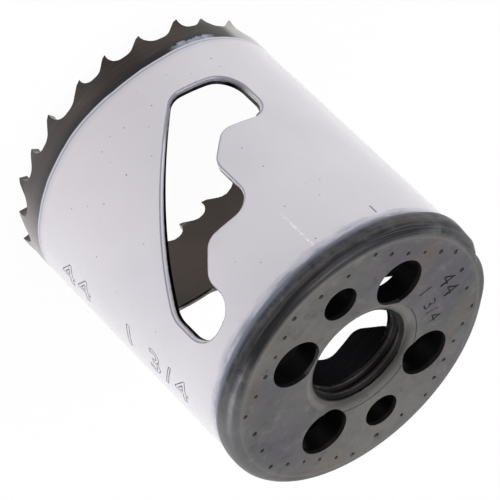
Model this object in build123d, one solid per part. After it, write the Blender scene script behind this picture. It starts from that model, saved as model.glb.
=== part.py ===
from build123d import *
import os
from math import acos, cos, degrees, radians, sin, tan

# Hole saw: a strip of steel with teeth along one edge, rolled into a cup wall, and a thick
# drilled back plate let into its other end and joined to it by an edge weld.
# It stands on its tooth tips at z = 0, with the plate's face on top and the saw's axis on Z.
# Angles are in degrees about Z, from +X towards +Y. Lengths are in millimetres.

# Rolled wall
wall_diameter = 43.0
wall_thickness = 1.3
overall_height = 50.4

# Teeth, in groups of three pitches. Each is set out of the wall or into it, in turn
tooth_groups = 8
pitch_shares = (17.0, 15.2, 12.8)  # of one group, onward from its first tip
first_tip_angle = -135.4
tip_land = 0.08  # width of the worn flat at a tip
gullet_depth_ratio = 0.35  # to the pitch, as every ratio here is
gullet_throat_ratio = 0.27  # radius under the rake face
gullet_heel_ratio = 0.40  # radius where the gullet runs out to the back slope
hook_angle = 8.0  # how far the rake face leans back under its tip
back_angle = 40.0  # long slope of a tooth's back
clearance_angle = 22.0  # short slope next to the tip
clearance_ratio = 0.13
gullet_middle_ratio = 0.3  # where the two cuts of a gullet meet, from the rake face
gullet_overlap_ratio = 0.1  # how far they reach past each other
set_out = 0.3
set_in = 0.15
set_depth = 1.5  # height of the bent part of a tooth

# Slug windows: a stair of rounded steps on one side, one long slanted edge on the other
window_angles = (-135.4, 43.0)  # where the first step of each window stands up
window_lifts = (0.0, 0.6)  # the second was punched a little nearer the plate
window_top_gap = 3.9  # from the weld down to the highest step
step_rises = (10.2, 12.0, 8.7)
step_fall = 0.9  # how much the top of a step falls towards the next one
step_chamfer = 4.0  # the metal's corner between two steps is cut back this far, and rounded
step_run = 12.05
last_step_run = 7.8
floor_run = 9.7
floor_fall = 0.6
slant_rise = 23.3
window_end_radius = 3.9  # lowest and highest corner
window_corner_radius = 3.1
step_root_radius = 2.8

# Back plate
plate_thickness = 3.9
plate_bevel = 0.9  # prepared for the weld
thread_minor_diameter = 14.5
mouth_diameter = 15.7  # where the thread opens under the dish
dish_diameter = 18.8
dish_depth = 0.6
drive_hole_diameter = 7.5
drive_hole_circle = 25.0
drive_hole_count = 4
drive_hole_angle = 31.75
small_hole_diameter = 5.3
small_hole_circle = 27.4
small_hole_count = 2
small_hole_angle = 76.75

# Edge weld. It swells where the run ends, and sinks into a crater beside the swelling
weld_height = 3.5
weld_proud = 0.33
weld_foot_height = 0.9
weld_corner_radius = 1.7
weld_corner_flats = 3  # narrow cones that make the rounded corner
swell_proud = 0.22
swell_angle = 153.5
swell_offset = 8.0  # the swelling is turned about an axis this far off centre
crater_angle = 195.0
crater_offset = 6.3
crater_edge_angle = 167.5

wall_radius = wall_diameter / 2
bore_radius = wall_radius - wall_thickness
weld_root = overall_height - weld_height
weld_radius = wall_radius + weld_proud
margin = 1.0  # how far a cutter runs past what it cuts
foot = (Align.CENTER, Align.CENTER, Align.MIN)


def turned(points, arc=360):
    """Revolve a closed outline of (radius, height) points about Z, from angle 0."""
    return revolve(Plane.XZ * make_face(Polyline(*points, close=True)), Axis.Z, arc)


def at_angles(shape, count, first):
    """Copies of a shape that lies at angle 0, spread evenly round the axis."""
    return [Rot(Z=first + 360 / count * turn) * shape for turn in range(count)]


def rounded(corners):
    """Closed face with its own radius at each corner: (x, y, radius) for each."""
    face = make_face(Polyline(*[(x, y) for x, y, radius in corners], close=True))
    for x, y, radius in corners:
        if radius:
            corner = face.vertices().sort_by_distance((x, y, 0))[0]
            face = fillet(corner, radius)
    return face


def upright(distance):
    """Plane facing away from the axis at angle 0, with its x along the wall and its y up."""
    return Plane((distance, 0, 0), x_dir=(0, 1, 0), z_dir=(1, 0, 0))


def straight_cutter(face):
    """Cutter through the wall at angle 0, with the same face all the way."""
    near = bore_radius - set_in - margin
    far = wall_radius + set_out + margin
    return extrude(upright(near) * face, far - near)


def fanned_cutter(face, half_run):
    """Cutter for a face drawn on the unrolled wall, with every side pointing at the axis."""
    near = (bore_radius - margin) * cos(half_run / wall_radius)
    far = wall_radius + margin
    sections = []
    for distance in (near, far):
        edges = []
        for edge in face.wires()[0].edges():
            points = [edge.position_at(step / 8) for step in range(9)]
            flat = [(distance * tan(p.X / wall_radius), p.Y, 0) for p in points]
            edges.append(Edge.make_spline(flat))
        sections.append(upright(distance) * Wire(edges))
    return Solid.make_loft(sections, ruled=True)


def tooth_pitches():
    """Angle of each tooth pitch, in order round the saw."""
    whole = 360 / tooth_groups
    return [whole * share / sum(pitch_shares) for share in pitch_shares] * tooth_groups


def gullet(pitch):
    """Two cutters with one flat bottom: under a rake face at angle 0, and down the back
    of the tooth in front of it."""
    run = radians(pitch) * wall_radius
    depth = gullet_depth_ratio * run
    middle = gullet_middle_ratio * run
    overlap = gullet_overlap_ratio * run
    hook = depth * tan(radians(hook_angle))
    rake_side = [
        (0, -margin, 0),
        (0, 0, 0),
        (hook, depth, gullet_throat_ratio * run),
        (-middle - overlap, depth, 0),
        (-middle - overlap, -margin, 0),
    ]
    clearance_run = clearance_ratio * run
    clearance_rise = clearance_run * tan(radians(clearance_angle))
    back_run = (depth - clearance_rise) / tan(radians(back_angle))
    back_side = [
        (tip_land, -margin, 0),
        (tip_land, 0, 0),
        (clearance_run, clearance_rise, 0),
        (clearance_run + back_run, depth, gullet_heel_ratio * run),
        (run - middle, depth, 0),
        (run - middle, -margin, 0),
    ]
    tooth_in_front = Rot(Z=-pitch)
    return [
        straight_cutter(rounded(rake_side)),
        tooth_in_front * straight_cutter(rounded(back_side)),
    ]


def tooth_blank(pitch, shift):
    """Ring piece that holds one tooth, bent off the wall by shift, starting at angle 0."""
    section = [
        (bore_radius, set_depth),
        (wall_radius, set_depth),
        (wall_radius + shift, 0),
        (bore_radius + shift, 0),
    ]
    return turned(section, pitch)


def window():
    """Cutter for one slug window, with its first upright edge at angle 0."""
    width = 2 * step_run + last_step_run
    window_bottom = weld_root - window_top_gap - sum(step_rises)
    tops = [window_bottom + sum(step_rises[: step + 1]) for step in range(3)]
    roots = [top - step_fall for top in tops]
    end, corner, root = window_end_radius, window_corner_radius, step_root_radius
    outline = [
        (0, window_bottom + floor_fall, end),
        (floor_run, window_bottom, corner),
        (width, window_bottom + slant_rise, corner),
        (width, tops[2], end),
        (2 * step_run, tops[2], corner),
        (2 * step_run, roots[1] + step_chamfer, root),
        (2 * step_run - step_chamfer, roots[1], root),
        (step_run, tops[1], corner),
        (step_run, roots[0] + step_chamfer, root),
        (step_run - step_chamfer, roots[0], root),
        (0, tops[0], corner),
    ]
    centred = [(run - width / 2, height, radius) for run, height, radius in outline]
    half_turn = degrees(width / 2 / wall_radius)
    return Rot(Z=half_turn) * fanned_cutter(rounded(centred), width / 2)


def toothed_wall():
    """The rolled strip: bent teeth, gullets and slug windows in one piece."""
    ring = [
        (bore_radius, set_depth),
        (wall_radius, set_depth),
        (wall_radius, weld_root),
        (bore_radius, weld_root),
    ]
    pitches = tooth_pitches()
    blanks, gullets = [], []
    tip = first_tip_angle
    for number, pitch in enumerate(pitches):
        before = pitches[number - 1]
        start = -gullet_middle_ratio * before
        end = (1 - gullet_middle_ratio) * pitch
        shift = -set_in if number % 2 else set_out
        blanks.append(Rot(Z=tip + start) * tooth_blank(end - start, shift))
        gullets += [Rot(Z=tip) * cutter for cutter in gullet(before)]
        tip += pitch
    cutter = window()
    places = zip(window_angles, window_lifts)
    windows = [Pos(0, 0, lift) * Rot(Z=angle) * cutter for angle, lift in places]
    return turned(ring) + blanks - gullets - windows


def plate_outline():
    """Half section of the plate before its holes, with the bevel for the weld."""
    return [
        (0, overall_height - plate_thickness),
        (bore_radius, overall_height - plate_thickness),
        (bore_radius, overall_height - plate_bevel),
        (bore_radius - plate_bevel, overall_height),
        (0, overall_height),
    ]


def hole_cutters(diameter, circle, count, first):
    """Straight holes through the plate, spread on a circle."""
    cutter = Cylinder(diameter / 2, plate_thickness + 2 * margin, align=foot)
    place = Pos(circle / 2, 0, overall_height - plate_thickness - margin)
    return at_angles(place * cutter, count, first)


def back_plate():
    """The thick plate: tapped middle under a shallow dish, drive holes and small holes."""
    mouth = overall_height - dish_depth
    mouth_radius, minor_radius = mouth_diameter / 2, thread_minor_diameter / 2
    lead_in = mouth_radius - minor_radius
    middle = [
        (0, overall_height - plate_thickness - margin),
        (minor_radius, overall_height - plate_thickness - margin),
        (minor_radius, mouth - lead_in),
        (mouth_radius, mouth),
        (dish_diameter / 2, overall_height),
        (dish_diameter / 2, overall_height + margin),
        (0, overall_height + margin),
    ]
    drive = hole_cutters(
        drive_hole_diameter, drive_hole_circle, drive_hole_count, drive_hole_angle
    )
    small = hole_cutters(
        small_hole_diameter, small_hole_circle, small_hole_count, small_hole_angle
    )
    return turned(plate_outline()) - turned(middle) - drive - small


def weld_turning(radius):
    """Solid turning with the weld's outer form, before the plate is taken out."""
    corner_radius = radius - weld_corner_radius
    corner_height = overall_height - weld_corner_radius
    outline = [
        (0, weld_root),
        (radius - weld_proud, weld_root),
        (radius, weld_root + weld_foot_height),
    ]
    for flat in range(weld_corner_flats + 1):
        turn = radians(90 * flat / weld_corner_flats)
        across, up = weld_corner_radius * cos(turn), weld_corner_radius * sin(turn)
        outline.append((corner_radius + across, corner_height + up))
    outline.append((0, overall_height))
    return turned(outline)


def weld_stretch(start, end, offset=0, direction=0):
    """The weld from one angle to another, turned about Z or about an axis beside it."""
    beside = Rot(Z=direction) * Pos(offset, 0, 0)
    proud = swell_proud if offset else 0
    form = beside * weld_turning(weld_radius + proud - offset)
    reach = weld_radius + margin
    sector = turned([(0, 0), (reach, 0), (reach, overall_height), (0, overall_height)], end - start)
    return form & (Rot(Z=start) * sector)


def crossing(offset):
    """How far to either side of its swollen middle an offset turning meets the plain weld."""
    radius = weld_radius + swell_proud - offset
    share = (offset**2 + weld_radius**2 - radius**2) / (2 * offset * weld_radius)
    return degrees(acos(share))


def edge_weld():
    """The fused ring round the plate: plain bead, swollen run-out and sunken crater."""
    swell_start = swell_angle - 2 * crossing(swell_offset)
    crater_end = crater_angle + 2 * crossing(crater_offset)
    plain = weld_stretch(crater_angle, swell_angle + 360)
    swell = weld_stretch(swell_start, crater_edge_angle, swell_offset, swell_angle)
    crater = weld_stretch(crater_edge_angle, crater_end, crater_offset, crater_angle)
    return plain + swell + crater - turned(plate_outline())


pieces = {
    "toothed_wall": toothed_wall,
    "back_plate": back_plate,
    "edge_weld": edge_weld,
}

os.makedirs("parts", exist_ok=True)
for name, build in pieces.items():
    export_step(build(), f"parts/{name}.step")
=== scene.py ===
import random
from math import atan2, cos, degrees, hypot, pi, radians, sin
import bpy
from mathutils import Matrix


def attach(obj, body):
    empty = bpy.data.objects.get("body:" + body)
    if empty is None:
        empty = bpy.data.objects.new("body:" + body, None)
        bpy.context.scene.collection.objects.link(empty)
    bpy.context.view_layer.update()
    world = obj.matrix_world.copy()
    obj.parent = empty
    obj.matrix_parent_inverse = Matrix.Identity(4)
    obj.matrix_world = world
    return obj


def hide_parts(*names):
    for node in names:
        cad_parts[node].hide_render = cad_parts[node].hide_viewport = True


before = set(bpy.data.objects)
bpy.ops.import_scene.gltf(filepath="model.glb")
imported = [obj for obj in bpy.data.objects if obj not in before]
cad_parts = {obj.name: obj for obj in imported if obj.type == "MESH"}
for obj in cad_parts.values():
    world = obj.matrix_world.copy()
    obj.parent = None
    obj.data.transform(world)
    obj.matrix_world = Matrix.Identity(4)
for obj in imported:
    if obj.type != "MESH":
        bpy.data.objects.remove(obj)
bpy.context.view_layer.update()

from types import SimpleNamespace

import bmesh
import bpy
from mathutils import Matrix, Vector, noise

# ---------------------------------------------------------------------------
# Camera. It looks at the saw from half a metre away through a long lens, down
# on the plate and the front window, and rolled so that the teeth are at the
# upper left of the picture.
# ---------------------------------------------------------------------------
camera_place = (0.0, -0.41251, 0.29970)
camera_right = Vector((-0.70085, 0.39512, 0.59388))
camera_up = Vector((-0.71331, -0.38800, -0.58365))
camera_back = camera_right.cross(camera_up).normalized()

camera_data = bpy.data.cameras.new("camera")
camera_data.sensor_width = 36.0
camera_data.lens = 258.92
camera_data.clip_start = 0.01
camera_data.clip_end = 20.0
camera = bpy.data.objects.new("camera", camera_data)
camera_turn = Matrix((camera_right, camera_up, camera_back)).transposed().to_4x4()
camera.matrix_world = Matrix.Translation(camera_place) @ camera_turn
bpy.context.scene.collection.objects.link(camera)
bpy.context.scene.camera = camera
bpy.context.scene.view_settings.view_transform = "Standard"

# ---------------------------------------------------------------------------
# Floor. A plain pale table top. The camera sees it near white, and it keeps a
# soft shadow where the saw stands on its teeth.
# ---------------------------------------------------------------------------
floor_half_width = 3.0
floor_tones = (0.80, 0.84)
seen_white_share = 0.97
plain_white = (1.0, 1.0, 1.0, 1.0)


def node_adder(tree):
    """A function that adds a shader node to the tree, with each input linked or set."""

    def add(kind, inputs=None, **settings):
        item = tree.nodes.new("ShaderNode" + kind)
        for setting, value in settings.items():
            setattr(item, setting, value)
        for socket, value in (inputs or {}).items():
            if isinstance(value, bpy.types.NodeSocket):
                tree.links.new(value, item.inputs[socket])
            else:
                item.inputs[socket].default_value = value
        return item

    return add


def finished(name, finish):
    """A new material with the shader that finish(add) makes."""
    material = bpy.data.materials.new(name)
    material.use_nodes = True
    tree = material.node_tree
    tree.nodes.clear()
    add = node_adder(tree)
    out = add("OutputMaterial")
    tree.links.new(finish(add).outputs[0], out.inputs["Surface"])
    return material


def maths(add, operation, *values):
    return add("Math", dict(enumerate(values)), operation=operation).outputs[0]


def noise_on(add, vector, scale, detail, roughness=0.5, **settings):
    inputs = {"Vector": vector, "Scale": scale, "Detail": detail, "Roughness": roughness}
    return add("TexNoise", inputs, **settings).outputs[0]


def floor_finish(add):
    rays = add("LightPath").outputs
    grain = noise_on(add, add("TexCoord").outputs["Object"], 9.0, 3.0)
    tone = add("MapRange", {"Value": grain, "To Min": floor_tones[0], "To Max": floor_tones[1]})
    table = add("BsdfDiffuse", {"Color": tone.outputs[0]})
    seen = add("Emission", {"Color": plain_white, "Strength": 1.0})
    straight = maths(add, "MAXIMUM", rays["Is Camera Ray"], rays["Is Glossy Ray"])
    share = maths(add, "MULTIPLY", straight, seen_white_share)
    return add("MixShader", {0: share, 1: table.outputs[0], 2: seen.outputs[0]})


floor_mesh = bpy.data.meshes.new("floor")
floor_shape = bmesh.new()
bmesh.ops.create_grid(floor_shape, x_segments=1, y_segments=1, size=floor_half_width)
floor_shape.to_mesh(floor_mesh)
floor_shape.free()
floor_mesh.materials.append(finished("pale_table", floor_finish))
floor = bpy.data.objects.new("floor", floor_mesh)
bpy.context.scene.collection.objects.link(floor)

# ---------------------------------------------------------------------------
# Light. A white tent all round, dimmer behind the camera, with two broad soft
# lamps over the saw.
# ---------------------------------------------------------------------------
tent_opening_direction = (0.0, -0.809, 0.588)
tent_opening_level = 0.70
tent_light_share = 0.62

world = bpy.data.worlds.new("tent")
bpy.context.scene.world = world
world.use_nodes = True
world.node_tree.nodes.clear()
hang = node_adder(world.node_tree)
tent_rays = hang("LightPath").outputs
tent_direction = hang("TexCoord").outputs["Generated"]
to_opening = hang("VectorMath", {0: tent_direction, 1: tent_opening_direction}, operation="DOT_PRODUCT")
tent_cloth = hang("MapRange", {
    "Value": to_opening.outputs["Value"],
    "From Min": 0.35,
    "From Max": 0.95,
    "To Min": 1.0,
    "To Max": tent_opening_level,
}, interpolation_type="SMOOTHSTEP").outputs[0]
tent_light = maths(hang, "MULTIPLY", tent_cloth, tent_light_share)
lit = hang("Mix", {0: tent_rays["Is Glossy Ray"], 2: tent_light, 3: tent_cloth}, data_type="FLOAT")
seen_or_lit = hang("Mix", {0: tent_rays["Is Camera Ray"], 2: lit.outputs[0], 3: 1.0}, data_type="FLOAT")
tent_glow = hang("Background", {"Color": plain_white, "Strength": seen_or_lit.outputs[0]})
hang("OutputWorld", {"Surface": tent_glow.outputs[0]})


def soft_lamp(name, place, aim, size, power):
    lamp_data = bpy.data.lights.new(name, "AREA")
    lamp_data.shape = "DISK"
    lamp_data.size = size
    lamp_data.energy = power
    lamp = bpy.data.objects.new(name, lamp_data)
    lamp.location = place
    lamp.rotation_euler = (Vector(aim) - Vector(place)).to_track_quat("-Z", "Y").to_euler()
    bpy.context.scene.collection.objects.link(lamp)


soft_lamp("left_softbox", place=(0.62, -0.05, 0.28), aim=(0, 0, 0.025), size=0.40, power=1.7)
soft_lamp("top_softbox", place=(-0.25, -0.15, 0.70), aim=(0, 0, 0.03), size=0.5, power=3.0)

# ---------------------------------------------------------------------------
# Toothed wall. A strip of steel with the hard tooth edge along it and both
# windows stamped out, rolled and butt welded. It is dipped in a thick pale
# lacquer that stops short of the teeth, and is bare inside.
# ---------------------------------------------------------------------------
mm = 0.001
wall_radius = 21.5 * mm
bore_radius = 20.2 * mm
tooth_edge_softening = 0.03 * mm
window_edge_rounding = 0.42 * mm

# The rear window's middle upright stands a little further round than in the solid
upright_bearing, upright_reach, upright_shift = 75.1, 4.0, 1.3  # degrees
upright_foot, upright_head = (21.0, 26.0), (33.8, 30.8)  # where the shift grows and fades, in mm

# Where the finish changes, as heights above the teeth and radii in millimetres
dip_mean, dip_slow_wave, dip_quick_wave = 5.03, -0.337, -0.189
lap_start, lap_end, weld_line = 45.3, 46.2, 46.9
scuff_bearing, nick_bearing = -106.6, -134.5
specks_per_metre = 420.0

# Colours
lacquer, lacquer_light = (0.640, 0.610, 0.665), (0.690, 0.660, 0.715)
lacquer_warm, thin_lacquer_shade, lacquer_lip_shade = (0.700, 0.665, 0.690), (0.40, 0.41, 0.50), (0.55, 0.56, 0.64)
groove_shade, lap_shade, lap_edge_shade = (0.22, 0.23, 0.33), (0.33, 0.34, 0.43), (0.17, 0.18, 0.25)
speck_dark, nick_dark = (0.12, 0.115, 0.12), (0.12, 0.12, 0.15)
scuff_white, cut_rim_lacquer_highlight = (0.88, 0.87, 0.90), (0.86, 0.85, 0.90)
rolled_shade, dull_rim_shade = (0.15, 0.145, 0.23), (0.13, 0.13, 0.17)
tooth_steel, tooth_steel_light = (0.037, 0.028, 0.026), (0.070, 0.056, 0.052)
tempered_steel, spill_shade = (0.014, 0.016, 0.021), (0.34, 0.36, 0.47)
bore_steel, bore_steel_light, bore_deep = (0.050, 0.044, 0.040), (0.072, 0.058, 0.052), (0.010, 0.010, 0.012)
near_cut_shade, far_cut_steel = (0.014, 0.014, 0.016), (0.090, 0.078, 0.072)
grind_light, right_shine, left_shine = (0.16, 0.145, 0.135), (0.42, 0.40, 0.39), (0.42, 0.385, 0.36)


def merged_copy(node):
    """A bmesh of a CAD node with its loose triangles joined."""
    copy = bmesh.new()
    copy.from_mesh(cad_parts[node].data)
    bmesh.ops.remove_doubles(copy, verts=copy.verts, dist=0.002 * mm)
    copy.normal_update()
    return copy


def from_axis(vertex):
    return hypot(vertex.co.x, vertex.co.y)


def folded_edges(copy, angle, wanted):
    """The edges that fold by more than an angle in degrees and pass a test."""
    return [edge for edge in copy.edges
            if len(edge.link_faces) == 2 and edge.calc_face_angle(0) > radians(angle) and wanted(edge)]


def soften(copy, edges, width, segments, clamp=True):
    bmesh.ops.bevel(copy, geom=edges, offset=width, segments=segments, profile=0.5, affect="EDGES",
                    material=-1, clamp_overlap=clamp)


def as_piece(name, copy, material):
    mesh = bpy.data.meshes.new(name)
    copy.to_mesh(mesh)
    copy.free()
    mesh.materials.append(material)
    piece = bpy.data.objects.new(name, mesh)
    bpy.context.scene.collection.objects.link(piece)
    for face in mesh.polygons:
        face.use_smooth = True
    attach(piece, "root")
    return piece


def round_normals(mesh, radii):
    """Area-weighted normals, with exact ones on the turned surfaces of the given (radius, sign)."""
    weighted = [Vector() for vertex in mesh.vertices]
    exact = [None] * len(mesh.vertices)
    for face in mesh.polygons:
        middle = Vector((face.center.x, face.center.y, 0)).normalized()
        for index in face.vertices:
            weighted[index] += face.normal * face.area
            vertex = mesh.vertices[index]
            for radius, sign in radii:
                on_surface = abs(from_axis(vertex) - radius) < 0.012 * mm
                if on_surface and face.normal.dot(middle) * sign > 0.99:
                    exact[index] = Vector((vertex.co.x, vertex.co.y, 0)).normalized() * sign
    final = [known or total.normalized() for known, total in zip(exact, weighted)]
    mesh.normals_split_custom_set_from_vertices(final)


def times(add, a, b):
    return maths(add, "MULTIPLY", a, b)


def plus(add, a, b):
    return maths(add, "ADD", a, b)


def minus(add, a, b):
    return maths(add, "SUBTRACT", a, b)


def fade(add, value, start, end, low=0.0, high=1.0):
    """Goes smoothly from low to high as the value goes from start to end."""
    limits = {"Value": value, "From Min": start, "From Max": end, "To Min": low, "To Max": high}
    return add("MapRange", limits, interpolation_type="SMOOTHSTEP").outputs[0]


def between(add, value, rise, fall):
    """1 between two limits, each given as (where it is 0, where it is 1)."""
    return times(add, fade(add, value, *rise), fade(add, value, *fall))


def mixed(add, share, a, b):
    """Colour a going to colour b as share goes from 0 to 1."""
    a, b = ((*colour, 1.0) if isinstance(colour, tuple) else colour for colour in (a, b))
    return add("Mix", {0: share, 6: a, 7: b}, data_type="RGBA").outputs[2]


def stretched(add, place, factor):
    """The place with its height stretched, which turns a round grain into lines round the saw."""
    return add("Mapping", {"Vector": place, "Scale": (1, 1, factor)}).outputs[0]


def measured(add):
    """Where a shaded point is: radius and height in millimetres, bearing in radians, turn in degrees."""
    place = add("TexCoord").outputs["Object"]
    parts = add("SeparateXYZ", {0: place}).outputs
    flat = add("CombineXYZ", {0: parts[0], 1: parts[1]})
    radius = add("VectorMath", {0: flat.outputs[0]}, operation="LENGTH").outputs["Value"]
    bearing = maths(add, "ARCTAN2", parts[1], parts[0])
    return SimpleNamespace(
        place=place,
        side=parts[1],
        radius=times(add, radius, 1 / mm),
        height=times(add, parts[2], 1 / mm),
        bearing=bearing,
        turn=times(add, bearing, 180 / pi),
    )


def above_dip_line(add, at):
    """Height over the lacquer's wavy lower edge."""
    wander = noise_on(add, at.place, 150.0, 3.0)
    slow_wave = maths(add, "COSINE", times(add, at.bearing, 2.0))
    quick_wave = maths(add, "COSINE", maths(add, "MULTIPLY_ADD", at.bearing, 5.0, -0.143))
    dip_line = plus(add, times(add, slow_wave, dip_slow_wave),
                    maths(add, "MULTIPLY_ADD", quick_wave, dip_quick_wave, dip_mean))
    return minus(add, plus(add, at.height, fade(add, wander, 0.3, 0.7, -0.10, 0.10)), dip_line)


def speckled(add, at, paint):
    """The paint with dust and small chips."""
    spots = add("TexVoronoi", {"Vector": at.unrolled, "Scale": specks_per_metre, "Randomness": 1.0},
                voronoi_dimensions="2D").outputs
    kinds = add("SeparateColor", {0: spots["Color"]}).outputs
    chosen = fade(add, plus(add, kinds[0], fade(add, at.cloud, 0.35, 0.7, -0.10, 0.10)), 0.76, 0.78)
    reach = maths(add, "MULTIPLY_ADD", kinds[1], 0.034, 0.018)
    speck = times(add, fade(add, minus(add, reach, spots["Distance"]), -0.012, 0.012), chosen)
    return mixed(add, times(add, speck, fade(add, kinds[2], 0.0, 1.0, 0.25, 0.85)), paint, speck_dark)


def handled(add, at, paint):
    """The paint with the scuff and the nick beside the weld."""
    off_scuff = maths(add, "ABSOLUTE", minus(add, at.turn, scuff_bearing))
    scuff = times(add, fade(add, off_scuff, 0.75, 0.1), between(add, at.height, (38.0, 40.0), (46.0, 45.2)))
    flecks = fade(add, noise_on(add, at.place, 3200.0, 1.0), 0.45, 0.55)
    paint = mixed(add, times(add, scuff, flecks), paint, scuff_white)
    off_nick = maths(add, "ABSOLUTE", minus(add, at.turn, nick_bearing))
    nick = times(add, fade(add, off_nick, 0.50, 0.30), between(add, at.height, (44.0, 44.2), (45.7, 45.5)))
    return mixed(add, times(add, nick, 0.85), paint, nick_dark)


def lacquer_colour(add, at):
    """Pale lacquer, thin and bluish along its lower edge and where it laps the weld, with painted shade
    along its lip and where it curves onto the weld.
    """
    paint = mixed(add, fade(add, at.cloud, 0.3, 0.7), lacquer, lacquer_light)
    warm = noise_on(add, at.place, 24.0, 1.0)
    paint = mixed(add, fade(add, warm, 0.45, 0.75, 0.0, 0.6), paint, lacquer_warm)
    # Painted shade along the lacquer's lower lip, over its thin blue edge, and in the groove above the lip
    paint = mixed(add, fade(add, at.above_dip, 1.6, 0.5, 0.0, 0.30), paint, thin_lacquer_shade)
    lip_groove = between(add, at.above_dip, (0.22, 0.32), (0.62, 0.46))
    paint = mixed(add, times(add, lip_groove, 0.60), paint, groove_shade)
    paint = mixed(add, times(add, fade(add, at.above_dip, 0.22, 0.10), 0.5), paint, lacquer_lip_shade)
    # Painted shade where the thinning lacquer curves onto the weld
    ragged = noise_on(add, stretched(add, at.place, 5), 300.0, 3.0)
    lap_height = plus(add, at.height, fade(add, ragged, 0.3, 0.7, -0.35, 0.35))
    paint = mixed(add, fade(add, lap_height, lap_start, lap_end, 0.0, 0.55), paint, lap_shade)
    paint = mixed(add, fade(add, lap_height, lap_end, weld_line, 0.0, 0.8), paint, lap_edge_shade)
    paint = handled(add, at, speckled(add, at, paint))

    # Rounded rim of each window: white lacquer with a painted highlight above, painted shade by the teeth,
    # and a painted shade line where it turns in
    # Here rubbed is only a share by height, between the painted highlight above and the painted shade below
    rubbed = fade(add, at.height, 14.5, 19.0)
    cut_rim = fade(add, at.radius, 21.36, 21.26)
    paint = mixed(add, times(add, times(add, cut_rim, rubbed), 0.6), paint, cut_rim_lacquer_highlight)
    lower_rim_shade = times(add, fade(add, at.radius, 21.42, 21.36), fade(add, rubbed, 1.0, 0.0))
    paint = mixed(add, times(add, lower_rim_shade, 0.75), paint, dull_rim_shade)
    rolled = times(add, fade(add, at.radius, 21.482, 21.46), fade(add, at.radius, 21.30, 21.38))
    return mixed(add, times(add, rolled, 0.72), paint, rolled_shade)


def bare_steel_colour(add, at):
    """Brown on the tooth edge, blue-black beside the lacquer, dull inside, with painted shade on the near
    window's cut faces, paler in two stretches.
    """
    steel = mixed(add, fade(add, at.cloud, 0.35, 0.65), tooth_steel, tooth_steel_light)
    steel = mixed(add, times(add, fade(add, at.above_dip, -1.9, -0.1), 0.85), steel, tempered_steel)
    spill_edge = noise_on(add, at.unrolled, 900.0, 3.0, noise_dimensions="2D")
    spill = fade(add, plus(add, at.above_dip, fade(add, spill_edge, 0.3, 0.7, -0.17, 0.17)), -0.85, -0.60)
    spill = times(add, spill, between(add, at.turn, (-146.0, -141.0), (-122.0, -127.0)))
    spill = times(add, spill, fade(add, spill_edge, 0.35, 0.65, 0.6, 0.95))
    steel = mixed(add, spill, steel, spill_shade)

    bore = mixed(add, fade(add, at.cloud, 0.35, 0.7), bore_steel, bore_steel_light)
    bore = mixed(add, fade(add, at.height, 20.0, 32.0), bore, bore_deep)
    steel = mixed(add, at.inside, steel, bore)
    # Cut faces of the windows: painted shade on the near window's, paler bare steel on the far one's
    cut_face = between(add, at.radius, (20.205, 20.26), (21.0, 20.9))
    cut_steel = mixed(add, fade(add, at.side, -2 * mm, 2 * mm), near_cut_shade, far_cut_steel)
    steel = mixed(add, times(add, cut_face, fade(add, at.height, 6.0, 8.0)), steel, cut_steel)

    streaks = noise_on(add, stretched(add, at.place, 14), 240.0, 5.0)
    outside = fade(add, at.inside, 1.0, 0.0)
    streak_share = fade(add, streaks, 0.50, 0.80, 0.0, 0.22)
    streak_share = times(add, streak_share, fade(add, at.inside, 1.0, 0.0, 0.35, 1.0))
    steel = mixed(add, streak_share, steel, grind_light)

    # Two stretches at fixed bearings are painted paler, in place of a sheen at a low angle
    steel = mixed(add, times(add, at.right_side, 0.6), steel, right_shine)
    left_end = between(add, at.turn, (-45.0, -25.0), (10.0, -8.0))
    left_end = times(add, left_end, fade(add, at.cloud, 0.62, 0.48, 0.25, 0.6))
    flat_place = add("VectorMath", {0: at.place, 1: (1.0, 1.0, 0.0)}, operation="MULTIPLY").outputs[0]
    outward = add("VectorMath", {0: flat_place}, operation="NORMALIZE").outputs[0]
    facing = add("VectorMath", {0: add("TexCoord").outputs["Normal"], 1: outward}, operation="DOT_PRODUCT")
    left_end = times(add, left_end, fade(add, facing.outputs["Value"], 0.70, 0.90))
    return mixed(add, times(add, left_end, outside), steel, left_shine)


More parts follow.
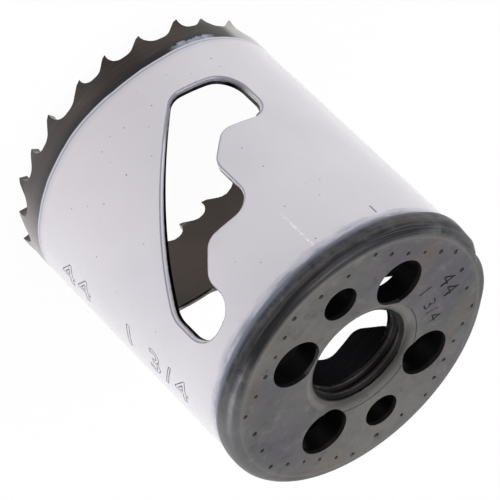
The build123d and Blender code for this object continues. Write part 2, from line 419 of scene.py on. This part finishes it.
def wall_finish(add):
    at = measured(add)
    at.cloud = noise_on(add, at.place, 55.0, 3.0, 0.55)
    at.unrolled = add("CombineXYZ", {
        0: times(add, at.bearing, wall_radius),
        1: times(add, at.height, mm),
    }).outputs[0]
    at.above_dip = above_dip_line(add, at)
    at.inside = fade(add, at.radius, 20.4, 20.25)
    at.right_side = times(add, fade(add, at.turn, -152.0, -159.0), fade(add, at.turn, -179.5, -172.0))
    left_side = times(add, fade(add, at.turn, -112.0, -42.0), fade(add, at.turn, 160.0, 70.0))

    # How far in the lacquer reaches: on the cut faces of the front window, less at the rear
    fine = noise_on(add, at.place, 1400.0, 4.0, 0.6)
    coat_reach = fade(add, at.side, 0.0, 2 * mm, 0.0, 0.42)
    coat_depth = minus(add, plus(add, at.radius, fade(add, fine, 0.3, 0.7, -0.05, 0.05)), coat_reach)
    painted = times(add, fade(add, at.above_dip, -0.06, 0.06), fade(add, coat_depth, 20.72, 20.80))

    # The bare steel's clear coat is stronger over both sides than between them
    bare_gloss = maths(add, "MULTIPLY_ADD", plus(add, left_side, at.right_side), 0.83, 0.12)
    gloss = add("Mix", {0: painted, 2: bare_gloss, 3: 0.7}, data_type="FLOAT").outputs[0]
    grain = times(add, fine, fade(add, painted, 0.0, 1.0, 1.2, 0.25))
    relief = plus(add, grain, times(add, painted, 1.8))
    bump = add("Bump", {"Strength": 0.3, "Distance": 0.04 * mm, "Height": relief})
    return add("BsdfPrincipled", {
        "Base Color": mixed(add, painted, bare_steel_colour(add, at), lacquer_colour(add, at)),
        "Metallic": fade(add, painted, 1.0, 0.0, 0.0, 0.95),
        "Roughness": plus(add, fade(add, painted, 0.0, 1.0, 0.30, 0.14), times(add, fine, 0.12)),
        "IOR": 1.5,
        "Coat Weight": times(add, fade(add, at.inside, 1.0, 0.0), gloss),
        "Coat Roughness": 0.22,
        "Normal": bump.outputs[0],
    })


def middle_height(edge):
    return (edge.verts[0].co.z + edge.verts[1].co.z) / 2


def at_window(edge):
    on_wall = all(from_axis(vertex) > 21.4 * mm for vertex in edge.verts)
    return on_wall and 8 * mm < middle_height(edge) < 46 * mm


def ramp(value, start, end):
    return min(max((value - start) / (end - start), 0), 1)


strip = merged_copy("toothed_wall")
tooth_edges = folded_edges(strip, 38, lambda edge: middle_height(edge) < 4 * mm)
soften(strip, tooth_edges, tooth_edge_softening, 1)
strip.normal_update()
bmesh.ops.dissolve_limit(strip, angle_limit=radians(0.5), verts=strip.verts, edges=strip.edges)
strip.normal_update()
soften(strip, folded_edges(strip, 38, at_window), window_edge_rounding, 4, clamp=False)
for corner in strip.verts:
    off_upright = abs(degrees(atan2(corner.co.y, corner.co.x)) - upright_bearing)
    height = corner.co.z / mm
    share = ramp(height, *upright_foot) * ramp(height, *upright_head) * ramp(off_upright, upright_reach, 0)
    corner.co = Matrix.Rotation(radians(upright_shift) * share, 3, "Z") @ corner.co
wall = as_piece("painted_wall", strip, finished("lacquered_strip", wall_finish))
round_normals(wall.data, [(wall_radius, 1), (bore_radius, -1)])
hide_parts("toothed_wall")

# ---------------------------------------------------------------------------
# Size print. The plain size numbers, printed up the wall as thin grey outlines
# over the lacquer, half rubbed off.
# ---------------------------------------------------------------------------
print_bearing = -17.0
print_start = 10.5 * mm
print_size = 6.2 * mm
print_stroke = 0.08 * mm
print_flatness = 0.3  # how much of the stroke's round section stands on the lacquer
longest_stroke = 0.5 * mm
ink_dark, ink_rubbed = (0.035, 0.04, 0.05), (0.24, 0.24, 0.27)


def print_finish(add):
    rubbed = noise_on(add, add("TexCoord").outputs["Object"], 700.0, 3.0)
    ink = mixed(add, fade(add, rubbed, 0.42, 0.62), ink_dark, ink_rubbed)
    return add("BsdfPrincipled", {"Base Color": ink, "Roughness": fade(add, rubbed, 0.3, 0.7, 0.35, 0.6)})


def lettering(text, **settings):
    """A bmesh of a line of numerals, lying in the plane z = 0."""
    curve = bpy.data.curves.new("numerals", "FONT")
    curve.body = text
    curve.resolution_u = 3
    for setting, value in settings.items():
        setattr(curve, setting, value)
    carrier = bpy.data.objects.new("numerals", curve)
    bpy.context.scene.collection.objects.link(carrier)
    bpy.context.view_layer.update()
    mesh = bpy.data.meshes.new_from_object(carrier.evaluated_get(bpy.context.evaluated_depsgraph_get()))
    bpy.data.objects.remove(carrier)
    letters = bmesh.new()
    letters.from_mesh(mesh)
    bpy.data.meshes.remove(mesh)
    return letters


outlines = lettering("44   1 3/4", size=print_size, space_character=1.2, fill_mode="NONE",
                     bevel_depth=print_stroke, bevel_resolution=0)
for repeat in range(2):
    long_edges = [edge for edge in outlines.edges if edge.calc_length() > longest_stroke]
    bmesh.ops.subdivide_edges(outlines, edges=long_edges, cuts=3)
for corner in outlines.verts:
    along, up, out = corner.co
    angle = radians(print_bearing) - up / wall_radius
    reach = wall_radius + print_flatness * out
    corner.co = (reach * cos(angle), reach * sin(angle), print_start + along)
as_piece("size_print", outlines, finished("grey_ink", print_finish))

# ---------------------------------------------------------------------------
# Back plate. A thick disc, blanked and drilled, with a tapped middle in a
# shallow pressed dish. Heat from the weld left it dark and unevenly tinted,
# and its face carries a ring of punched dots and a stamped size number.
# ---------------------------------------------------------------------------
plate_face = 50.4 * mm
dish_floor = 49.8 * mm
rim_softening = 0.06 * mm
mouth_softening = 0.28 * mm
thread_pitch = 1.411 * mm
thread_minor_radius = 7.25 * mm
thread_major_radius = 7.82 * mm
thread_turns, steps_per_turn = 5, 60
first_groove = 44.9 * mm
dot_ring_radius = 19.2 * mm
dot_wobble = 0.1
dot_sizes = (0.17, 0.26)
# The dots stand in eight straight rows: first bearing, last bearing, dots in the row
dot_rows = [(8.8, 57.3, 5), (57.3, 97.7, 3), (97.7, 145.1, 5), (145.1, 185.6, 3),
            (185.6, 235.2, 5), (235.2, 277.1, 3), (277.1, 326.9, 5), (326.9, 368.8, 3)]
stamp_turn = radians(76.5)
stamp_half_depth = 0.10 * mm

head_dark, head_light = (0.100, 0.099, 0.096), (0.145, 0.140, 0.132)
head_violet, head_brown = (0.085, 0.078, 0.100), (0.150, 0.115, 0.090)
mottle_dark, mottle_light = (0.055, 0.052, 0.052), (0.195, 0.19, 0.18)
stamp_shade, crease_shade, far_dish_dark = (0.016, 0.014, 0.014), (0.022, 0.017, 0.015), (0.028, 0.025, 0.024)
lip_highlight_colour, hole_shade, thread_crest_highlight = (0.20, 0.18, 0.165), (0.006, 0.006, 0.006), (0.026, 0.022, 0.021)


def head_steel(add, place):
    """Colour of the heat-tinted steel of the plate's face and the rim round it."""
    cloud = noise_on(add, place, 95.0, 4.0, 0.6)
    steel = mixed(add, fade(add, cloud, 0.3, 0.7), head_dark, head_light)
    wide = noise_on(add, place, 42.0, 2.0)
    steel = mixed(add, fade(add, wide, 0.45, 0.70, 0.0, 0.75), steel, head_violet)
    mottle = noise_on(add, place, 420.0, 4.0, 0.7)
    steel = mixed(add, fade(add, mottle, 0.46, 0.30, 0.0, 0.50), steel, mottle_dark)
    steel = mixed(add, fade(add, mottle, 0.52, 0.72, 0.0, 0.45), steel, mottle_light)
    brown = noise_on(add, place, 61.0, 3.0)
    return mixed(add, fade(add, brown, 0.56, 0.72, 0.0, 0.55), steel, head_brown)


def plate_finish(add):
    at = measured(add)
    steel = head_steel(add, at.place)
    # Painted shade in the punched dots, the stamped numerals and the tops of the holes
    stamped_recess_shade = times(add, fade(add, at.height, 50.385, 50.33), fade(add, at.radius, 9.5, 9.7))
    steel = mixed(add, times(add, stamped_recess_shade, 0.85), steel, stamp_shade)

    # Pressed edge of the dish with painted shade along it on one side, the dish darker on its far side, and
    # a painted highlight on its lip on the near side
    off_crease = maths(add, "ABSOLUTE", minus(add, at.radius, 9.38))
    crease_side = fade(add, at.turn, 20.0, 50.0)
    crease = times(add, fade(add, off_crease, 0.10, 0.03), fade(add, crease_side, 0.0, 1.0, 0.15, 0.9))
    steel = mixed(add, crease, steel, crease_shade)
    # The dish darker towards its far side
    far_side = fade(add, minus(add, at.side, 0.8 * mm), 0.0, 7 * mm)
    far_dish_darkening = times(add, fade(add, at.radius, 9.3, 7.9), fade(add, far_side, 0.0, 1.0, 0.15, 0.95))
    steel = mixed(add, times(add, far_dish_darkening, 0.9), steel, far_dish_dark)
    # A painted highlight on the dish's lip, on the near side only
    lip_highlight = times(add, between(add, at.radius, (8.0, 8.5), (9.3, 8.9)), fade(add, far_side, 0.3, 0.0))
    steel = mixed(add, times(add, lip_highlight, 0.5), steel, lip_highlight_colour)

    # Painted shade on the walls of the holes, and a painted highlight on the thread's crests
    steel = mixed(add, fade(add, at.height, 49.80, 49.60), steel, hole_shade)
    crest = times(add, fade(add, at.radius, 7.42, 7.30), fade(add, at.height, 49.4, 49.2))
    steel = mixed(add, times(add, crest, fade(add, at.radius, 9.0, 8.5)), steel, thread_crest_highlight)
    fine = noise_on(add, at.place, 1500.0, 5.0, 0.65)
    bump = add("Bump", {"Strength": 0.45, "Distance": 0.03 * mm, "Height": fine})
    return add("BsdfPrincipled", {
        "Base Color": steel,
        "Metallic": 0.85,
        "Roughness": plus(add, times(add, fine, 0.25), 0.36),
        "Normal": bump.outputs[0],
    })


def solid_from(name, copy):
    mesh = bpy.data.meshes.new(name)
    copy.to_mesh(mesh)
    copy.free()
    body = bpy.data.objects.new(name, mesh)
    bpy.context.scene.collection.objects.link(body)
    return body


def cut_away(piece, cutters):
    """Takes each cutter out of a piece."""
    for cutter in cutters:
        cut = piece.modifiers.new("cut", "BOOLEAN")
        cut.operation = "DIFFERENCE"
        cut.solver = "EXACT"
        cut.object = cutter
    cut_mesh = bpy.data.meshes.new_from_object(piece.evaluated_get(bpy.context.evaluated_depsgraph_get()))
    piece.modifiers.clear()
    piece.data = cut_mesh


def crisp(piece, angle):
    """Smooth faces with sharp edges past an angle, and flat faces kept flat."""
    for face in piece.data.polygons:
        face.use_smooth = True
    piece.data.set_sharp_from_angle(angle=radians(angle))
    flat = piece.modifiers.new("flat_faces", "WEIGHTED_NORMAL")
    flat.mode = "FACE_AREA_WITH_ANGLE"
    flat.weight = 100
    flat.keep_sharp = True


def tap():
    """The 5/8 inch 18 thread as a helical ridge that is cut out of the plate's middle."""
    inner = thread_minor_radius - 0.12 * mm
    half_root = 0.13 * mm
    half_mouth = half_root + (thread_major_radius - inner) * 0.68
    section = [(inner, -half_mouth), (thread_major_radius, -half_root),
               (thread_major_radius, half_root), (inner, half_mouth)]
    ridge = bmesh.new()
    face = ridge.faces.new([ridge.verts.new((r, 0, first_groove + z)) for r, z in section])
    bmesh.ops.spin(ridge, geom=[face], cent=(0, 0, 0), axis=(0, 0, 1),
                   dvec=(0, 0, thread_pitch / steps_per_turn), angle=2 * pi * thread_turns,
                   steps=thread_turns * steps_per_turn, use_duplicate=False)
    bmesh.ops.recalc_face_normals(ridge, faces=ridge.faces)
    return solid_from("tap", ridge)


def punches():
    """The rows of small conical punch marks."""
    rng = random.Random(7)
    cones = bmesh.new()
    for first, last, count in dot_rows:
        start, end = (Vector((cos(radians(a)), sin(radians(a)), 0)) * dot_ring_radius for a in (first, last))
        for step in range(count):
            across, along = rng.uniform(-dot_wobble, dot_wobble), rng.uniform(-dot_wobble, dot_wobble)
            point = start.lerp(end, step / count) + Vector((across, along, 0)) * mm
            size = rng.uniform(*dot_sizes) * mm
            bmesh.ops.create_cone(cones, cap_ends=True, segments=10, radius1=size * 1.1, radius2=size * 2.3,
                                  depth=0.5 * mm, matrix=Matrix.Translation((point.x, point.y, plate_face)))
    return solid_from("punches", cones)


def stamp(text, size, x, y):
    """Solid numerals that cut a shallow mark in the plate's face."""
    letters = lettering(text, size=size, extrude=stamp_half_depth, offset=-0.005 * mm, align_x="CENTER",
                        space_character=1.25)
    letters.transform(Matrix.Translation((x, y, plate_face)) @ Matrix.Rotation(stamp_turn, 4, "Z"))
    bmesh.ops.remove_doubles(letters, verts=letters.verts, dist=0.001 * mm)
    return solid_from("numerals", letters)


def at_hole_rim(edge):
    on_face = min(vertex.co.z for vertex in edge.verts) > plate_face - 0.01 * mm
    return on_face and 9.45 * mm < from_axis(edge.verts[0]) < 19 * mm


def at_mouth(edge):
    return all(abs(vertex.co.z - dish_floor) < 0.02 * mm and from_axis(vertex) < 8 * mm
               for vertex in edge.verts)


disc = merged_copy("back_plate")
soften(disc, folded_edges(disc, 60, at_hole_rim), rim_softening, 2)
soften(disc, folded_edges(disc, 15, at_mouth), mouth_softening, 3)
plate = as_piece("drilled_plate", disc, finished("heat_tinted_plate", plate_finish))
dot_cutter = punches()
cutters = [
    tap(),
    dot_cutter,
    stamp("44", 3.9 * mm, -14.15 * mm, 2.3 * mm),
    stamp("1 3/4", 3.1 * mm, -10.65 * mm, 2.5 * mm),
]
cut_away(plate, cutters)
crisp(plate, 32)
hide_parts("back_plate")

# ---------------------------------------------------------------------------
# Edge weld. The wall and plate are melted together all round without filler,
# which leaves a smooth rounded rim. It swells where the run ends, beside the
# crater where the torch was lifted.
# ---------------------------------------------------------------------------
# The bead's reach from the axis, in millimetres, at bearings in degrees
rim_outline = [(-180.0, 22.08), (-178.5, 22.08), (-172.0, 22.10), (-165.0, 22.18), (-160.4, 22.20),
               (-150.0, 22.0), (-135.0, 21.86), (0.0, 21.83), (120.0, 21.80), (141.0, 21.72),
               (144.0, 21.77), (147.0, 21.88), (150.6, 22.02), (154.0, 22.03), (160.0, 21.86),
               (164.0, 21.68), (167.3, 21.45), (167.9, 21.17), (171.0, 21.39), (174.0, 21.65),
               (178.0, 21.99), (180.0, 22.08)]
bead_reach = 21.83
bead_root, bead_inside = 46.9, 20.2
bead_corner_radius, bead_corner_centre = 1.7, (20.13, 48.7)
bead_steps = 300
ripple_scale, ripple_height = 260, 0.03

fused_dark, fused_light = (0.046, 0.046, 0.054), (0.072, 0.072, 0.080)
grit_light, grit_dark = (0.13, 0.12, 0.115), (0.020, 0.020, 0.023)
darker_crest, scale_brown = (0.010, 0.009, 0.010), (0.13, 0.10, 0.088)
ring_light, ring_dark = (0.115, 0.115, 0.118), (0.026, 0.026, 0.030)
weld_sheen, edge_highlight, lacquer_film = (0.14, 0.14, 0.145), (0.21, 0.20, 0.19), (0.15, 0.16, 0.22)


def rim_radius(angle):
    """How far the weld reaches at a bearing in degrees, kept inside the saw's box."""
    for (a, low), (b, high) in zip(rim_outline, rim_outline[1:]):
        if a <= angle <= b:
            reach = low + (high - low) * (angle - a) / (b - a)
            return min(reach, bead_reach / max(abs(cos(radians(angle))), 0.9))
    return bead_reach


def round_the_rim(add, at, along, across, detail):
    """Noise drawn out round the saw."""
    place = add("CombineXYZ", {
        0: times(add, at.bearing, along),
        1: times(add, at.radius, across),
        2: times(add, at.height, across),
    })
    return noise_on(add, place.outputs[0], 1.0, detail)


def weld_finish(add):
    at = measured(add)
    smear = round_the_rim(add, at, 2.2, 0.8, 3.0)
    dark = mixed(add, fade(add, smear, 0.35, 0.65), fused_dark, fused_light)
    grit = noise_on(add, at.place, 380.0, 5.0, 0.7)
    dark = mixed(add, fade(add, grit, 0.50, 0.68, 0.0, 0.75), dark, grit_light)
    dark = mixed(add, fade(add, grit, 0.48, 0.34, 0.0, 0.75), dark, grit_dark)

    # Over one stretch the crest is darker, with brown scale just below it
    dark_stretch = between(add, at.turn, (-156.0, -140.0), (-48.0, -66.0))
    crest = fade(add, plus(add, at.height, fade(add, smear, 0.3, 0.7, -0.3, 0.3)), 48.5, 49.9)
    crest = times(add, crest, fade(add, at.radius, 20.30, 20.60))
    dark = mixed(add, times(add, times(add, dark_stretch, crest), 0.95), dark, darker_crest)
    brown = times(add, between(add, at.height, (48.6, 48.9), (49.5, 49.2)), fade(add, smear, 0.45, 0.60))
    dark = mixed(add, times(add, times(add, dark_stretch, brown), 0.40), dark, scale_brown)

    # Fine rings, and a paler stretch painted in as a sheen
    rings = round_the_rim(add, at, 1.5, 7.0, 3.0)
    dark = mixed(add, fade(add, rings, 0.50, 0.66, 0.0, 0.45), dark, ring_light)
    dark = mixed(add, fade(add, rings, 0.48, 0.34, 0.0, 0.45), dark, ring_dark)
    sheen_stretch = between(add, at.turn, (-54.0, -26.0), (30.0, 0.0))
    dark = mixed(add, times(add, sheen_stretch, 0.7), dark, weld_sheen)

    # The plate's tint on top with a painted highlight along its edge, and the lacquer's film below
    steel = mixed(add, fade(add, at.radius, 20.0, 20.9), head_steel(add, at.place), dark)
    top_edge = between(add, at.radius, (19.65, 20.0), (20.35, 20.05))
    steel = mixed(add, times(add, top_edge, 0.25), steel, edge_highlight)
    film = fade(add, plus(add, at.height, fade(add, smear, 0.3, 0.7, -0.2, 0.2)), 48.0, 47.0)
    fine = noise_on(add, at.place, 1300.0, 5.0, 0.65)
    relief = plus(add, fine, times(add, smear, 2.0))
    bump = add("Bump", {"Strength": 0.5, "Distance": 0.05 * mm, "Height": relief})
    return add("BsdfPrincipled", {
        "Base Color": mixed(add, film, steel, lacquer_film),
        "Metallic": fade(add, film, 1.0, 0.0, 0.3, 0.9),
        "Roughness": plus(add, times(add, fine, 0.2), 0.36),
        "Coat Weight": fade(add, sheen_stretch, 0.0, 1.0, 0.08, 0.15),
        "Coat Roughness": 0.42,
        "Normal": bump.outputs[0],
    })


bead_shape = bmesh.new()
centre_radius, centre_height = bead_corner_centre
section = [(bead_inside, bead_root), (21.5, bead_root), (21.68, 47.1), (21.78, 47.4), (bead_reach, 47.8),
           (bead_reach, 48.3)]
section += [(centre_radius + bead_corner_radius * cos(radians(a)),
             centre_height + bead_corner_radius * sin(radians(a))) for a in range(0, 91, 9)]
section += [(19.7, 50.4), (19.3, 50.4), (bead_inside, 49.5)]
corners = [bead_shape.verts.new((r * mm, 0, z * mm)) for r, z in section]
sides = [bead_shape.edges.new(ends) for ends in zip(corners, corners[1:] + corners[:1])]
bmesh.ops.spin(bead_shape, geom=corners + sides, cent=(0, 0, 0), axis=(0, 0, 1), angle=2 * pi,
               steps=bead_steps, use_merge=True)
bmesh.ops.remove_doubles(bead_shape, verts=bead_shape.verts, dist=0.002 * mm)
bmesh.ops.recalc_face_normals(bead_shape, faces=bead_shape.faces)
for corner in bead_shape.verts:
    distance = from_axis(corner) / mm
    height = corner.co.z / mm
    if distance > bead_inside + 0.005:
        ripple = noise.noise(corner.co * ripple_scale) * ripple_height if height > 47.5 else 0
        reach = rim_radius(degrees(atan2(corner.co.y, corner.co.x))) + ripple - ripple_height
        if height < 47.3:
            reach = bead_reach
        share = (distance - bead_inside) / (bead_reach - bead_inside)
        grown = (bead_inside + share * (reach - bead_inside)) / distance
        corner.co.x *= grown
        corner.co.y *= grown
bead = as_piece("fused_rim", bead_shape, finished("fused_steel", weld_finish))
cut_away(bead, [dot_cutter])
crisp(bead, 40)
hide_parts("edge_weld")
for cutter in cutters:
    bpy.data.objects.remove(cutter)
